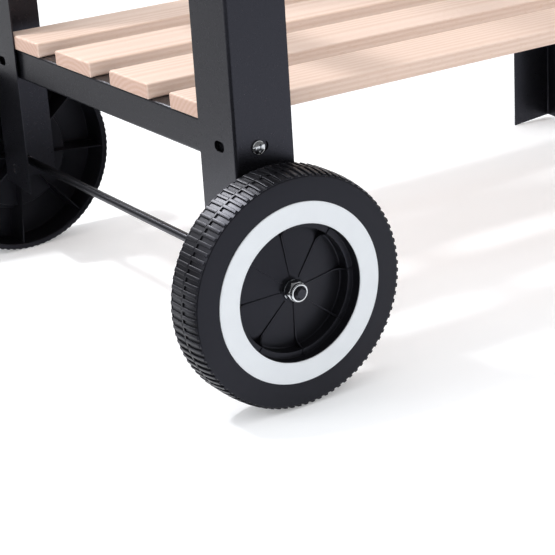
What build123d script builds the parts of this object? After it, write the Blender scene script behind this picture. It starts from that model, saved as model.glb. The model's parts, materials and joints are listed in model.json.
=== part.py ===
"""Wheeled firewood log rack: angle posts, cross rails, wooden slats, an axle and two wheels.

Millimetres. X runs from the wheel end to the foot end, Y across the rack, Z up from the floor.
The origin is on the floor, at the middle of the rack's bounding box.
"""
import os

from build123d import *

# Frame of four angle posts, bent from sheet steel
frame_length = 736.0
frame_width = 460.0
post_top = 820.0
post_flange = 55.0
post_sheet = 1.5
post_bend_radius = 3.0
post_corner_lift = 4.0
post_top_radius = 10.0
wheel_post_bottom = 80.0

# Hole line of the posts, the same on both flanges
hole_setback = 24.0
slot_length = 15.0
slot_height = 9.0

# Cross rails, bent from the same sheet, with an end tab at each post
rail_height = 30.3
rail_flange = 32.0
rail_sheet = 1.5
rail_bend_radius = 2.5
rail_tab_length = 44.0
rail_corner_relief = 14.0
rail_hole_drop = 15.5
rail_standoff = 3.0
deck_rail_top = 228.0
top_rail_drop = 42.0

# Wooden slats that run along X on the cross rails
slat_width = 69.0
slat_thickness = 14.0
slat_edge_radius = 2.0
slat_pitch = 106.5
slat_end_gap = 0.5
deck_slat_count = 4

# Hexagon-headed wood screws that come up through the rails into the slats
slat_screw_diameter = 4.0
slat_screw_across_flats = 7.0
slat_screw_head_height = 2.8
slat_screw_depth = 9.5
slat_screw_spacing = 36.0
slat_screw_setback = 19.0
screw_tip_chamfer = 0.5
pilot_clearance = 0.05
flange_hole_clearance = 0.3

# Machine screws and nuts that hold the rails in the posts
bolt_diameter = 6.0
bolt_head_diameter = 12.0
bolt_head_height = 3.6
bolt_head_edge_radius = 1.6
bolt_length = 14.0
bolt_slot_offset = 2.4
bolt_hole_clearance = 0.3
recess_width = 1.5
recess_span = 6.4
recess_depth = 2.2
bolt_nut_across_flats = 10.0
bolt_nut_height = 5.0
thread_clearance = 0.05

# Axle rod: a slimmer shank between the posts, and rolled ends that carry the wheels
axle_shank_diameter = 8.2
axle_end_diameter = 10.0
axle_end_inset = 8.0
axle_end_chamfer = 1.0
axle_post_clearance = 0.2
axle_proud = 2.6
running_clearance = 0.06

# Washers and lock nuts on the axle
washer_diameter = 18.0
washer_thickness = 2.0
washer_clearance = 0.25
end_play = 0.3
lock_nut_across_flats = 17.0
lock_nut_hex_height = 7.4
lock_nut_height = 10.0
lock_nut_collar_diameter = 16.0
lock_nut_collar_rounding = 1.2
lock_nut_insert_diameter = 12.4
lock_nut_insert_height = 2.0

# Moulded wheel. Reaches are measured along the axle, outwards from the middle plane of the tread.
wheel_diameter = 200.0
wheel_width = 35.0
tread_shoulder = 2.0
tread_depth = 1.5
tread_bar_count = 91
tread_bar_share = 0.46
tread_bar_inset = 0.5
groove_runout_width = 1.5
groove_runout_rise = 1.0
tread_rib_width = 1.8
tread_rib_drop = 0.3
tread_overlap = 1.0
tread_band = 6.0
hub_inner_reach = 25.9
hub_outer_reach = 4.6
hub_radius = 12.0
dish_floor_reach = -1.5
dish_ledge_width = 5.2
dish_ledge_reach = 9.0
ring_seat_reach = 17.8
wheel_wall = 2.5
rib_count = 8
rib_phase = 5.0
rib_thickness = 1.8
rib_line_height = 0.8
rib_gusset_run = 9.0
rib_inner_reach = -15.3
rib_foot_radius = 24.0

# White ring on the side of the wheel, round the mouth of the hub dish
ring_outer_radius = 76.3
ring_width = 18.1
ring_thickness = 1.2
ring_edge_radius = 0.4
ring_seat_margin = 0.7
ring_mouth_margin = 0.5

# Places worked out from the sizes above
wheel_radius = wheel_diameter / 2
tread_floor_radius = wheel_radius - tread_depth
tread_edge_radius = tread_floor_radius - tread_shoulder
bar_edge_radius = wheel_radius - tread_shoulder
inner_edge_radius = tread_floor_radius + groove_runout_rise
ring_inner_radius = ring_outer_radius - ring_width
dish_mouth_radius = ring_inner_radius - ring_mouth_margin
dish_floor_radius = dish_mouth_radius - dish_ledge_width
rib_gusset_radius = dish_floor_radius - rib_gusset_run
rear_overhang = wheel_radius - hole_setback
overall_length = frame_length + rear_overhang
wheel_end_x = rear_overhang - overall_length / 2
foot_end_x = wheel_end_x + frame_length
frame_middle_x = (wheel_end_x + foot_end_x) / 2
axle_x = wheel_end_x + hole_setback
axle_z = wheel_radius
half_width = frame_width / 2
post_inside_y = half_width - post_sheet
wheel_plane = half_width + washer_thickness + end_play + hub_inner_reach
washer_seat = wheel_plane + hub_outer_reach + end_play
lock_nut_seat = washer_seat + washer_thickness
axle_half_length = lock_nut_seat + lock_nut_height + axle_proud
bolt_setback = hole_setback - bolt_slot_offset
top_rail_top = post_top - top_rail_drop
middle_rail_top = (deck_rail_top + top_rail_top) / 2
rail_levels = (deck_rail_top, middle_rail_top, top_rail_top)
slat_span = frame_length - 2 * (post_sheet + slat_end_gap)
deck_slat_centres = [(i - (deck_slat_count - 1) / 2) * slat_pitch for i in range(deck_slat_count)]
top_slat_centres = [deck_slat_centres[0], deck_slat_centres[-1]]
sides = {"left": 1, "right": -1}


def half_turned(shape):
    """The shape turned half round about the vertical line through the middle of the frame."""
    return Pos(frame_middle_x, 0, 0) * Rot(0, 0, 180) * Pos(-frame_middle_x, 0, 0) * shape


def bent_section(corners, sheet, radius):
    """Section of a bent sheet: a strip between an outer path and the inner path beside it."""
    outer_points, inner_points = corners
    outer = FilletPolyline(*outer_points, radius=radius)
    inner = FilletPolyline(*inner_points, radius=radius - sheet)
    ends = [Line(outer @ 0, inner @ 0), Line(outer @ 1, inner @ 1)]
    return make_face(outer.edges() + inner.edges() + [end.edge() for end in ends])


def angle_section():
    """Equal angle with its outer corner at the origin and its flanges along +X and +Y."""
    outer = [(post_flange, 0), (0, 0), (0, post_flange)]
    inner = [(post_flange, post_sheet), (post_sheet, post_sheet), (post_sheet, post_flange)]
    return bent_section((outer, inner), post_sheet, post_bend_radius)


def on_both_flanges(cutter):
    """A cutter for the flange along X, and its twin for the flange along Y."""
    return [cutter, mirror(cutter, Plane((0, 0, 0), x_dir=(0, 0, 1), z_dir=(1, -1, 0)))]


def slot_cutter(level):
    """Slot for a rail screw, on the hole line of the rail whose upper face is at this level."""
    plane = Plane((hole_setback, post_sheet / 2, level - rail_hole_drop), x_dir=(1, 0, 0), z_dir=(0, -1, 0))
    return extrude(plane * SlotOverall(slot_length, slot_height), amount=post_sheet, both=True)


def axle_hole_cutter():
    """Round hole for the axle."""
    radius = axle_end_diameter / 2 + axle_post_clearance
    plane = Plane((hole_setback, post_sheet / 2, axle_z), x_dir=(1, 0, 0), z_dir=(0, -1, 0))
    return extrude(plane * Circle(radius), amount=post_sheet, both=True)


def angle_post(bottom, has_axle_hole):
    """Post with its corner at the origin, cut at its foot so that it stands on two tips."""
    post = Pos(0, 0, bottom) * extrude(angle_section(), amount=post_top - bottom)
    tip_plane = Plane(
        origin=(post_flange, post_sheet, bottom),
        x_dir=(1, -1, 0),
        z_dir=(post_corner_lift, post_corner_lift, post_flange),
    )
    post = split(post, bisect_by=tip_plane, keep=Keep.TOP)
    cutters = [twin for level in rail_levels for twin in on_both_flanges(slot_cutter(level))]
    if has_axle_hole:
        cutters += on_both_flanges(axle_hole_cutter())
    post = post - cutters
    top_edges = post.edges().filter_by(lambda edge: abs(edge.center().Z - post_top) < post_sheet / 10)
    short_edges = [edge for edge in top_edges if abs(edge.length - post_sheet) < post_sheet / 10]
    return fillet(short_edges, post_top_radius)


def make_posts():
    """Four posts, which differ only by end: each is turned into its own corner."""
    wheel_post = angle_post(wheel_post_bottom, True)
    foot_post = angle_post(0, False)
    return {
        "wheel_post_right": Pos(wheel_end_x, -half_width, 0) * wheel_post,
        "wheel_post_left": Pos(wheel_end_x, half_width, 0) * Rot(0, 0, -90) * wheel_post,
        "foot_post_right": Pos(foot_end_x, -half_width, 0) * Rot(0, 0, 90) * foot_post,
        "foot_post_left": Pos(foot_end_x, half_width, 0) * Rot(0, 0, 180) * foot_post,
    }


def rail_section():
    """Channel with two equal flanges: web's outer face on X = 0, upper face on Y = 0."""
    outer = [(rail_flange, 0), (0, 0), (0, -rail_height), (rail_flange, -rail_height)]
    inner = [
        (rail_flange, -rail_sheet),
        (rail_sheet, -rail_sheet),
        (rail_sheet, rail_sheet - rail_height),
        (rail_flange, rail_sheet - rail_height),
    ]
    return bent_section((outer, inner), rail_sheet, rail_bend_radius)


def rail_web():
    """Web and two end tabs, as one strip bent at both ends, seen from above."""
    outer = [
        (rail_tab_length, -post_inside_y),
        (0, -post_inside_y),
        (0, post_inside_y),
        (rail_tab_length, post_inside_y),
    ]
    tab_inside_y = post_inside_y - rail_sheet
    inner = [
        (rail_tab_length, -tab_inside_y),
        (rail_sheet, -tab_inside_y),
        (rail_sheet, tab_inside_y),
        (rail_tab_length, tab_inside_y),
    ]
    strip = bent_section((outer, inner), rail_sheet, rail_bend_radius)
    web_height = rail_height - 2 * rail_bend_radius
    return Pos(0, 0, rail_bend_radius - rail_height) * extrude(strip, amount=web_height)


def cross_rail(slat_centres):
    """Rail with the web's outer face on X = 0, the flange's upper face on Z = 0 and its holes."""
    flange_half_length = post_inside_y - rail_corner_relief
    section = Plane((0, 0, 0), x_dir=(1, 0, 0), z_dir=(0, -1, 0)) * rail_section()
    rail = extrude(section, amount=flange_half_length, both=True) + rail_web()
    bolt_hole_radius = bolt_diameter / 2 + bolt_hole_clearance
    web_setback = post_sheet + rail_standoff
    bolt_plane = Plane((bolt_setback - web_setback, 0, -rail_hole_drop), x_dir=(1, 0, 0), z_dir=(0, -1, 0))
    rail -= extrude(bolt_plane * Circle(bolt_hole_radius), amount=half_width, both=True)
    screw_hole_radius = slat_screw_diameter / 2 + flange_hole_clearance
    for y in screw_rows(slat_centres):
        hole = Cylinder(screw_hole_radius, 2 * rail_sheet)
        rail -= Pos(slat_screw_setback - web_setback, y, -rail_sheet / 2) * hole
    return rail


def screw_rows(slat_centres):
    """The Y places of the slat screws: a pair under each slat."""
    return [y + side * slat_screw_spacing / 2 for y in slat_centres for side in (-1, 1)]


def make_rails():
    """Three rails at each end of the frame, those of the foot end turned half round."""
    rails = {}
    for name, level, centres in (
        ("deck_rail", deck_rail_top, deck_slat_centres),
        ("middle_rail", middle_rail_top, []),
        ("top_rail", top_rail_top, top_slat_centres),
    ):
        rail = Pos(wheel_end_x + post_sheet + rail_standoff, 0, level) * cross_rail(centres)
        rails[name + "_wheel_end"] = rail
        rails[name + "_foot_end"] = half_turned(rail)
    return rails


def slat(y, level):
    """One slat with eased edges and a pair of pilot holes at each end."""
    board = Box(slat_span, slat_width, slat_thickness)
    board = fillet(board.edges(), slat_edge_radius)
    pilot_radius = slat_screw_diameter / 2 + pilot_clearance
    pilot_depth = slat_screw_depth + pilot_clearance
    screw_x = frame_length / 2 - slat_screw_setback
    for x in (-screw_x, screw_x):
        for side in (-1, 1):
            pilot = Pos(0, 0, (pilot_depth - slat_thickness) / 2) * Cylinder(pilot_radius, pilot_depth)
            board -= Pos(x, side * slat_screw_spacing / 2, 0) * pilot
    return Pos(frame_middle_x, y, level + slat_thickness / 2) * board


def make_slats():
    """Deck slats, numbered from the right side of the rack to the left, and two slats on the top rails."""
    slats = {}
    for number, y in enumerate(deck_slat_centres, start=1):
        slats["deck_slat_%d" % number] = slat(y, deck_rail_top)
    slats["top_slat_right"] = slat(top_slat_centres[0], top_rail_top)
    slats["top_slat_left"] = slat(top_slat_centres[1], top_rail_top)
    return slats


def cross_recess(depth):
    """Cross for a screwdriver, cut down from Z = 0 to this depth."""
    mouth = Rectangle(recess_span, recess_width) + Rectangle(recess_width, recess_span)
    return Pos(0, 0, -depth) * extrude(mouth, amount=2 * depth)


def shank(diameter, length):
    """Shank of a screw that hangs down from Z = 0, with a chamfered tip."""
    rod = Pos(0, 0, -length / 2) * Cylinder(diameter / 2, length)
    return chamfer(rod.edges().group_by(Axis.Z)[0], screw_tip_chamfer)


def hex_prism(across_flats, height):
    """Hexagonal prism that stands on Z = 0."""
    return extrude(RegularPolygon(across_flats / 2, 6, major_radius=False), amount=height)


def slat_screws(slat_centres, level):
    """Screws that come up through both rails of one level."""
    head = hex_prism(slat_screw_across_flats, slat_screw_head_height)
    upright = Rot(180, 0, 0) * (head + shank(slat_screw_diameter, slat_screw_depth + rail_sheet))
    screw_x = frame_length / 2 - slat_screw_setback
    places = [
        Pos(frame_middle_x + x, y, level - rail_sheet)
        for x in (-screw_x, screw_x)
        for y in screw_rows(slat_centres)
    ]
    return [place * upright for place in places]


def bolt_places(y_distance):
    """Places on the hole line of the posts, facing out of the frame's long sides."""
    places = []
    for x in (wheel_end_x + bolt_setback, foot_end_x - bolt_setback):
        for level in rail_levels:
            for side in sides.values():
                place = Pos(x, side * y_distance, level - rail_hole_drop) * Rot(-90 * side, 0, 0)
                places.append(place)
    return places


def rail_bolts():
    """Cross-recessed machine screws, with their heads on the outer faces of the posts."""
    head = Pos(0, 0, bolt_head_height / 2) * Cylinder(bolt_head_diameter / 2, bolt_head_height)
    head = fillet(head.edges().group_by(Axis.Z)[-1], bolt_head_edge_radius)
    bolt = head + shank(bolt_diameter, bolt_length)
    bolt -= Pos(0, 0, bolt_head_height) * cross_recess(recess_depth)
    return [place * bolt for place in bolt_places(half_width)]


def rail_nuts():
    """Plain hexagon nuts on the inner faces of the rails' tabs."""
    nut = hex_prism(bolt_nut_across_flats, bolt_nut_height)
    nut -= Cylinder(bolt_diameter / 2 + thread_clearance, 2 * bolt_length)
    nut = Rot(180, 0, 0) * nut
    return [place * nut for place in bolt_places(post_inside_y - rail_sheet)]


def make_axle():
    """Axle rod across the wheel-end posts."""
    shank_half_length = half_width - axle_end_inset
    end_length = axle_half_length - shank_half_length
    rod = Cylinder(axle_shank_diameter / 2, 2 * shank_half_length)
    for side in sides.values():
        end = Cylinder(axle_end_diameter / 2, end_length)
        outer_rim = end.edges().group_by(Axis.Z)[-1 if side > 0 else 0]
        end = chamfer(outer_rim, axle_end_chamfer)
        rod += Pos(0, 0, side * (shank_half_length + end_length / 2)) * end
    return Pos(axle_x, 0, axle_z) * Rot(90, 0, 0) * rod


def on_axle(shape, side, reach):
    """The shape set on the axle, its Z axis outwards, at this distance from the middle of the rack."""
    outwards = Rot(-90, 0, 0) if side > 0 else Rot(90, 0, 0)
    return Pos(axle_x, side * reach, axle_z) * outwards * shape


def washer():
    """Flat washer that lies on Z = 0."""
    hole = Circle(axle_end_diameter / 2 + washer_clearance)
    return extrude(Circle(washer_diameter / 2) - hole, amount=washer_thickness)


def lock_nut():
    """Hexagon nut with a rounded collar, which holds the insert, on its outer end."""
    collar_radius = lock_nut_collar_diameter / 2
    nut = hex_prism(lock_nut_across_flats, lock_nut_hex_height)
    collar = Pos(0, 0, lock_nut_height / 2) * Cylinder(collar_radius, lock_nut_height)
    collar = fillet(collar.edges().group_by(Axis.Z)[-1], lock_nut_collar_rounding)
    nut += collar
    nut -= Cylinder(axle_end_diameter / 2 + thread_clearance, axle_half_length)
    seat = extrude(Circle(lock_nut_insert_diameter / 2), amount=lock_nut_insert_height)
    return nut - Pos(0, 0, lock_nut_height - lock_nut_insert_height) * seat


def lock_nut_insert():
    """Ring that grips the thread, flush with the end of the nut's collar."""
    outer = Circle(lock_nut_insert_diameter / 2 - thread_clearance)
    inner = Circle(axle_end_diameter / 2 + thread_clearance)
    return extrude(outer - inner, amount=lock_nut_insert_height)


def make_axle_hardware():
    """Washers on both sides of each hub, and a lock nut with its insert on each end of the axle."""
    insert_seat = lock_nut_seat + lock_nut_height - lock_nut_insert_height
    pairs = sides.values()
    return {
        "inner_washers": [on_axle(washer(), side, half_width) for side in pairs],
        "outer_washers": [on_axle(washer(), side, washer_seat) for side in pairs],
        "lock_nuts": [on_axle(lock_nut(), side, lock_nut_seat) for side in pairs],
        "lock_nut_inserts": [on_axle(lock_nut_insert(), side, insert_seat) for side in pairs],
    }


def dish_floor(radius):
    """Reach of the hub dish's cone, which rises from its edge to the hub."""
    rise = (hub_outer_reach - dish_floor_reach) / (dish_floor_radius - hub_radius)
    return dish_floor_reach + rise * (dish_floor_radius - radius)


def wheel_shell():
    """Moulded wheel turned about its axle, up to the floor of the tread, which falls to the outer side."""
    half = wheel_width / 2
    bore = axle_end_diameter / 2 + running_clearance
    band_inside = wheel_radius - tread_band
    ring_edge = ring_outer_radius + ring_seat_margin
    side_inside = half - wheel_wall
    front = [
        (bore, hub_outer_reach),
        (hub_radius, hub_outer_reach),
        (dish_floor_radius, dish_floor_reach),
        (dish_floor_radius, dish_ledge_reach),
        (dish_mouth_radius, dish_ledge_reach),
        (dish_mouth_radius, ring_seat_reach),
        (ring_edge, ring_seat_reach),
        (tread_edge_radius, half),
    ]
    back = [
        (tread_floor_radius, 0),
        (tread_floor_radius, groove_runout_width - half),
        (inner_edge_radius, -half),
        (band_inside, -half),
        (band_inside, side_inside),
        (ring_edge, ring_seat_reach - wheel_wall),
        (dish_mouth_radius + wheel_wall, ring_seat_reach - wheel_wall),
        (dish_mouth_radius + wheel_wall, dish_ledge_reach - wheel_wall),
        (dish_floor_radius + wheel_wall, dish_ledge_reach - wheel_wall),
        (dish_floor_radius + wheel_wall, dish_floor_reach - wheel_wall),
        (hub_radius, hub_outer_reach - wheel_wall),
        (hub_radius, -hub_inner_reach),
        (bore, -hub_inner_reach),
        front[0],
    ]
    shoulder = TangentArc(back[0], front[-1], tangent=(0, 1))
    outline = Polyline(*front).edges() + shoulder.edges() + Polyline(*back).edges()
    return revolve(Plane.XZ * make_face(outline), Axis.Z)


def bar_blank():
    """Ring as wide as the tread bars, with the shoulder of their tops on its outer side."""
    half = wheel_width / 2 - tread_bar_inset
    inside = tread_edge_radius - tread_overlap
    corners = [
        (wheel_radius, 0),
        (wheel_radius, -half),
        (inside, -half),
        (inside, half),
        (bar_edge_radius, half),
    ]
    shoulder = TangentArc(corners[0], corners[-1], tangent=(0, 1))
    return revolve(Plane.XZ * make_face(Polyline(*corners).edges() + shoulder.edges()), Axis.Z)


def tread_bars():
    """Bars across the tread, left of their blank by a toothed prism. One of them stands lowest."""
    straight_down = -90
    pitch = 360 / tread_bar_count
    half_bar = pitch * tread_bar_share / 2
    root = tread_edge_radius - tread_overlap / 2
    beyond = wheel_radius + tread_overlap
    corners = (root, -half_bar), (beyond, -half_bar), (beyond, half_bar), (root, half_bar)
    outline = [
        Vector(radius, 0).rotate(Axis.Z, straight_down + number * pitch + angle)
        for number in range(tread_bar_count)
        for radius, angle in corners
    ]
    teeth = make_face(Polyline(*outline, close=True).edges())
    return bar_blank() & extrude(teeth, amount=wheel_width, both=True)


def tread_rib():
    """Low rib round the middle of the tread, which joins the bars."""
    section = Circle(wheel_radius - tread_rib_drop) - Circle(tread_floor_radius - tread_overlap)
    return extrude(section, amount=tread_rib_width / 2, both=True)


def wheel_rib():
    """One rib as a plate in the XZ plane: a low line on the dish, a gusset at its wall and a fin behind."""
    mid_wall = wheel_wall / 2
    ledge_top = dish_ledge_reach + rib_line_height
    side_middle = ring_seat_reach - mid_wall
    band_middle = wheel_radius - tread_band + mid_wall
    wall_middle = dish_mouth_radius + mid_wall / 2
    hub_inside = hub_radius - mid_wall
    outline = [
        (hub_inside, dish_floor(hub_radius)),
        (hub_radius, dish_floor(hub_radius) + rib_line_height),
        (rib_gusset_radius, dish_floor(rib_gusset_radius) + rib_line_height),
        (dish_floor_radius, ledge_top),
        (wall_middle, ledge_top),
        (wall_middle, side_middle),
        (ring_outer_radius, side_middle),
        (band_middle, wheel_width / 2 - mid_wall),
        (band_middle, rib_inner_reach),
        (rib_foot_radius, rib_inner_reach),
        (hub_inside, (rib_inner_reach - hub_inner_reach) / 2),
    ]
    plate = Plane.XZ * make_face(Polyline(*outline, close=True).edges())
    return extrude(plate, amount=rib_thickness / 2, both=True)


def moulded_wheel():
    """Whole wheel, its axis on Z and its outer side up."""
    rib = wheel_rib()
    ribs = [Rot(0, 0, rib_phase + number * 360 / rib_count) * rib for number in range(rib_count)]
    return wheel_shell() + [tread_bars(), tread_rib()] + ribs


def white_ring():
    """Flat ring with eased edges that lies on Z = 0."""
    ring = extrude(Circle(ring_outer_radius) - Circle(ring_inner_radius), amount=ring_thickness)
    return fillet(ring.edges().group_by(Axis.Z)[-1], ring_edge_radius)


def make_wheels():
    """A wheel and its white ring on each end of the axle."""
    wheel = moulded_wheel()
    ring = white_ring()
    pieces = {}
    for side_name, side in sides.items():
        turn = Rot(0, 0, 180) if side > 0 else Rot(0, 0, 0)
        pieces["wheel_" + side_name] = on_axle(turn * wheel, side, wheel_plane)
        pieces["wheel_ring_" + side_name] = on_axle(ring, side, wheel_plane + ring_seat_reach)
    return pieces


def make_fasteners():
    """Screws and nuts, each kind as a group of separate solids."""
    return {
        "rail_bolts": rail_bolts(),
        "rail_nuts": rail_nuts(),
        "deck_slat_screws": slat_screws(deck_slat_centres, deck_rail_top),
        "top_slat_screws": slat_screws(top_slat_centres, top_rail_top),
    }


def main():
    nodes = {}
    for group in (make_posts, make_rails, make_slats, make_fasteners, make_axle_hardware, make_wheels):
        nodes.update(group())
    nodes["axle"] = make_axle()
    os.makedirs("parts", exist_ok=True)
    for name, shape in nodes.items():
        solid = Compound(children=shape) if isinstance(shape, list) else shape
        export_step(solid, "parts/%s.step" % name)
    print("%d nodes, wheel plane %.1f, axle %.1f long" % (len(nodes), wheel_plane, 2 * axle_half_length))


main()
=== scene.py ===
# %% [markdown]
# A firewood rack on two wheels: black angle posts, cross rails, pale wooden slats, an axle and a pair of
# white-ringed wheels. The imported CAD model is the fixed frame, in metres with Z up, and everything made
# below is placed from it. Posts, rails and slats already have their real shapes there, so they only get
# finishes. The wheels, their rings, the axle and the bright fasteners are modelled again, with the
# rounded edges, threads and tread that light needs.

# %% The frame and its box
import json
from math import cos, pi, radians, sin, tan
import bmesh
import bpy
from mathutils import Euler, Matrix, Vector


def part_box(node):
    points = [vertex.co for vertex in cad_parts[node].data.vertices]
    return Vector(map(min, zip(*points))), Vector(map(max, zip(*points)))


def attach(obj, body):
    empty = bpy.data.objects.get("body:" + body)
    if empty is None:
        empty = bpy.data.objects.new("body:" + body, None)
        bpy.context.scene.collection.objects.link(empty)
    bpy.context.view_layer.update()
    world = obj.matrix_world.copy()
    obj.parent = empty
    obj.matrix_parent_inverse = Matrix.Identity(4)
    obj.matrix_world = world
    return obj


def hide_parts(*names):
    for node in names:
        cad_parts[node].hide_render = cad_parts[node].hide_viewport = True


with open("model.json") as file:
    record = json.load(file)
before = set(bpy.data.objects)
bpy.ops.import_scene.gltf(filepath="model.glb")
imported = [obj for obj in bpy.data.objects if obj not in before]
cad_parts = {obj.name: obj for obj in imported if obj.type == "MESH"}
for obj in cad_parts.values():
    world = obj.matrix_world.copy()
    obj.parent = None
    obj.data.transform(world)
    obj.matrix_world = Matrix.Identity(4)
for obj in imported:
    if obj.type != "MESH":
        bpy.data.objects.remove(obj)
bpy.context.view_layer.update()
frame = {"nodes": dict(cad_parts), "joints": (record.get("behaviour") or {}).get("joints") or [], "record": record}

# %% [markdown]
# The camera is a long lens close to the wheel end, a little above the deck and looking down. Its place,
# its heading and a small tilt to one side were found by fitting a pinhole camera to the wheels, posts and
# axle. A camera in Blender looks along its own -Z axis, so a level camera is turned up by 90 degrees
# first.

# %% Camera
image_pixels = 555
sensor_width_mm = 36.0
focal_pixels = 1723.1
camera_place = Vector((-1.0014, -1.3538, 0.6045))
camera_heading = radians(57.963)
camera_down = radians(20.89)
camera_tilt = radians(3.72)

camera = bpy.data.objects.new("camera", bpy.data.cameras.new("camera"))
bpy.context.scene.collection.objects.link(camera)
camera.data.sensor_width = sensor_width_mm
camera.data.lens = focal_pixels / image_pixels * sensor_width_mm
level = Euler((pi / 2 - camera_down, 0, camera_heading - pi / 2)).to_matrix()
tilted = level @ Matrix.Rotation(-camera_tilt, 3, "Z")
camera.matrix_world = Matrix.Translation(camera_place) @ tilted.to_4x4()
camera.data.clip_start = 0.05
bpy.context.scene.camera = camera
bpy.context.scene.view_settings.view_transform = "Standard"
print("Camera with a lens of %.1f mm" % camera.data.lens)

# %% [markdown]
# Three small helpers serve every finish. Colours are written as sRGB hex values, as a colour picker shows
# them, while shaders work in linear light, so one function turns the first into the second. The next adds
# one node: its properties, the values of its sockets, and the links that come into it. The last starts a
# material.

# %% Helpers for finishes
millimetre = 0.001


def linear(hex_colour):
    """The linear colour, with alpha, of an sRGB hex value."""
    channels = [int(hex_colour[start:start + 2], 16) / 255 for start in (1, 3, 5)]
    return [c / 12.92 if c <= 0.04045 else ((c + 0.055) / 1.055) ** 2.4 for c in channels] + [1.0]


def add_node(tree, kind, values=None, links=None, **settings):
    """Adds a node with its settings, the values of its sockets and the links into it."""
    node = tree.nodes.new(kind)
    for name, value in settings.items():
        setattr(node, name, value)
    for socket, value in (values or {}).items():
        node.inputs[socket].default_value = value
    for socket, source in (links or {}).items():
        tree.links.new(source, node.inputs[socket])
    return node


def new_finish(name, sockets):
    """A material with its principled shader, whose uniform sockets are set here."""
    material = bpy.data.materials.new(name)
    material.use_nodes = True
    tree = material.node_tree
    shader = tree.nodes["Principled BSDF"]
    for socket, value in sockets.items():
        shader.inputs[socket].default_value = value
    return material, tree, shader


print("Mid grey #808080 is %.3f in linear light" % linear("#808080")[0])

# %% [markdown]
# The posts and rails are sheet steel with a satin black powder coat: dry paint dust baked into a skin.
# Most of what the eye sees on it is the room, mirrored more strongly at a glancing angle, so the base is
# almost black. The baked skin has a fine orange peel, drawn here at 1.4 mm, which breaks the reflection
# up.

# %% Satin black powder coat on steel
cool_black = linear("#e6e8ff")
peel_size = 1.4 * millimetre
dust_size = 0.35 * millimetre


def satin_powder_coat():
    material, tree, shader = new_finish("satin_black_powder_coat", {"IOR": 1.5, "Specular Tint": cool_black})
    place = add_node(tree, "ShaderNodeTexCoord").outputs["Object"]
    peel = add_node(tree, "ShaderNodeTexNoise", {"Scale": 1 / peel_size, "Detail": 2.0}, {"Vector": place})
    dust = add_node(tree, "ShaderNodeTexNoise", {"Scale": 1 / dust_size, "Detail": 1.0}, {"Vector": place})
    tone = add_node(tree, "ShaderNodeMix", {"A": linear("#08080a"), "B": linear("#101013")},
                    {"Factor": dust.outputs["Fac"]}, data_type="RGBA")
    rough = add_node(tree, "ShaderNodeMapRange", {"To Min": 0.24, "To Max": 0.34},
                     {"Value": peel.outputs["Fac"]})
    bump = add_node(tree, "ShaderNodeBump", {"Strength": 0.12, "Distance": 0.05 * millimetre},
                    {"Height": peel.outputs["Fac"]})
    tree.links.new(tone.outputs["Result"], shader.inputs["Base Color"])
    tree.links.new(rough.outputs["Result"], shader.inputs["Roughness"])
    tree.links.new(bump.outputs["Normal"], shader.inputs["Normal"])
    return material


powder_coat = satin_powder_coat()
print("Made", powder_coat.name, "with a peel of", peel_size / millimetre, "mm")

# %% [markdown]
# The axle is a drawn steel rod under a thin semi-gloss black paint. Drawing leaves fine lines along the
# rod, and the paint is too thin to hide them, so its noise is stretched: 0.5 mm across and 60 mm along
# the axle, which is the Z axis of the piece. The lines vary the gloss and so split the highlight into
# fine streaks.

# %% Semi-gloss black paint on drawn steel
draw_line_width = 0.5 * millimetre
draw_line_length = 60 * millimetre


def semi_gloss_paint():
    material, tree, shader = new_finish(
        "semi_gloss_black_paint_on_drawn_steel", {"IOR": 1.5, "Specular Tint": cool_black})
    place = add_node(tree, "ShaderNodeTexCoord").outputs["Object"]
    stretch = (1 / draw_line_width, 1 / draw_line_width, 1 / draw_line_length)
    lines_place = add_node(tree, "ShaderNodeMapping", {"Scale": stretch}, {"Vector": place})
    lines = add_node(tree, "ShaderNodeTexNoise", {"Scale": 1.0, "Detail": 2.0},
                     {"Vector": lines_place.outputs["Vector"]})
    tone = add_node(tree, "ShaderNodeMix", {"A": linear("#070708"), "B": linear("#121214")},
                    {"Factor": lines.outputs["Fac"]}, data_type="RGBA")
    rough = add_node(tree, "ShaderNodeMapRange", {"To Min": 0.16, "To Max": 0.3},
                     {"Value": lines.outputs["Fac"]})
    bump = add_node(tree, "ShaderNodeBump", {"Strength": 0.25, "Distance": 0.04 * millimetre},
                    {"Height": lines.outputs["Fac"]})
    tree.links.new(tone.outputs["Result"], shader.inputs["Base Color"])
    tree.links.new(rough.outputs["Result"], shader.inputs["Roughness"])
    tree.links.new(bump.outputs["Normal"], shader.inputs["Normal"])
    return material


axle_paint = semi_gloss_paint()
print("Made", axle_paint.name)

# %% [markdown]
# The slats are a planed pale hardwood such as beech. Wood is a solid pattern: growth rings round a pith
# that lies outside the slat, stretched along the trunk. A ring texture about the X axis, with the pith
# set off to one side, gives straight lines on the faces and arcs on the ends, and they meet at the edges
# as in sawn wood. Short darker flecks and fine pores follow the grain, and the cut ends are darker. Each
# slat has its own pith, so no two look alike. Bare planed wood is dull, so its roughness is high.

# %% Planed beech
growth_ring = 4.5 * millimetre
pore_width = 0.5 * millimetre
pore_length = 14 * millimetre
fleck_width = 0.9 * millimetre
fleck_length = 5 * millimetre
wave_turns = 20 / (2 * pi)
trunk_stretch = (0.05, 1, 1)


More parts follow.
